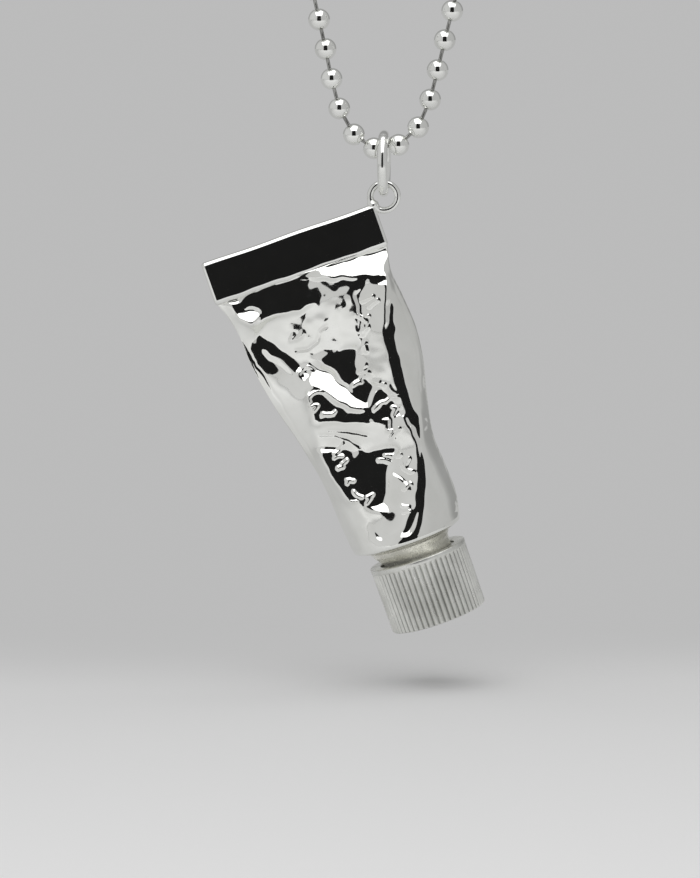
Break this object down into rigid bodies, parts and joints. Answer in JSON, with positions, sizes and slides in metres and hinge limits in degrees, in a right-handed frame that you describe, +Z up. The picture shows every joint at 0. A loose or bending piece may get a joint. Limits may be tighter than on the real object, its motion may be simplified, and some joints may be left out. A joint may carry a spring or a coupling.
{
  "type": "tube pendant on a ball chain",
  "caption": "Solid silver pendant in the shape of a squeezed paint tube with a ribbed screw cap, hung by a jump ring from a ball chain.",
  "frame": {"origin": "midway between the middles of the chain's two end balls, where the chain is held", "axes": "+Z up as the pendant hangs, +X to the right seen from the front, -Y towards the front face of the tube"},
  "size_m": [0.0316, 0.0126, 0.0803],
  "materials": {
    "polished_silver": "mirror-polished sterling silver with fine scratches and small dents",
    "satin_silver": "satin sterling silver, fine cast grain, ribs brightened on their crests",
    "ring_silver": "polished drawn silver wire",
    "chain_silver": "polished rolled beads and bars",
    "seal_liner": "soft pale liner disc"
  },
  "bodies": {
    "chain_holder": {"left_end_eye": "chain_silver", "right_end_eye": "chain_silver"},
    "chain": {"chain_ball_1": "chain_silver", "chain_ball_2": "chain_silver", "chain_ball_3": "chain_silver", "chain_ball_4": "chain_silver", "chain_ball_5": "chain_silver", "chain_ball_6": "chain_silver", "chain_ball_7": "chain_silver", "chain_ball_8": "chain_silver", "chain_ball_9": "chain_silver", "chain_ball_10": "chain_silver", "chain_ball_11": "chain_silver", "chain_ball_12": "chain_silver", "chain_ball_13": "chain_silver", "chain_ball_14": "chain_silver", "chain_ball_15": "chain_silver", "chain_ball_16": "chain_silver", "chain_pin_1": "chain_silver", "chain_pin_2": "chain_silver", "chain_pin_3": "chain_silver", "chain_pin_4": "chain_silver", "chain_pin_5": "chain_silver", "chain_pin_6": "chain_silver", "chain_pin_7": "chain_silver", "chain_pin_8": "chain_silver", "chain_pin_9": "chain_silver", "chain_pin_10": "chain_silver", "chain_pin_11": "chain_silver", "chain_pin_12": "chain_silver", "chain_pin_13": "chain_silver", "chain_pin_14": "chain_silver", "chain_pin_15": "chain_silver"},
    "jump_ring": {"jump_ring": "ring_silver"},
    "pendant": {"tube_body": "polished_silver", "fold_band": "polished_silver", "bail_ring": "ring_silver"},
    "seal": {"cap_seal": "seal_liner"},
    "cap": {"screw_cap": "satin_silver"}
  },
  "joints": [
    {"name": "chain_swing", "type": "hinge", "parent": "chain_holder", "child": "chain", "pos_m": [0, 0, 0], "axis": [0.9986, 0, 0.0529], "range_deg": [-25, 25]},
    {"name": "jump_ring_swing", "type": "hinge", "parent": "chain", "child": "jump_ring", "pos_m": [0, 0, -0.021], "axis": [0.9904, 0, 0.1384], "range_deg": [-60, 60]},
    {"name": "pendant_swing", "type": "hinge", "parent": "jump_ring", "child": "pendant", "pos_m": [-0.00024, 0, -0.02655], "axis": [0, 1, 0], "range_deg": [-45, 45]},
    {"name": "cap_lift", "type": "slide", "parent": "pendant", "child": "seal", "axis": [0.3289, 0, -0.9444], "range_m": [0, 0.0064]},
    {"name": "cap_turn", "type": "hinge", "parent": "seal", "child": "cap", "pos_m": [0.006, 0, -0.07367], "axis": [0.3289, 0, -0.9444], "range_deg": [0, 1441]}
  ],
  "couplings": [
    {"joint": "cap_turn", "follows": "cap_lift", "rad_per_m": 3927}
  ]
}
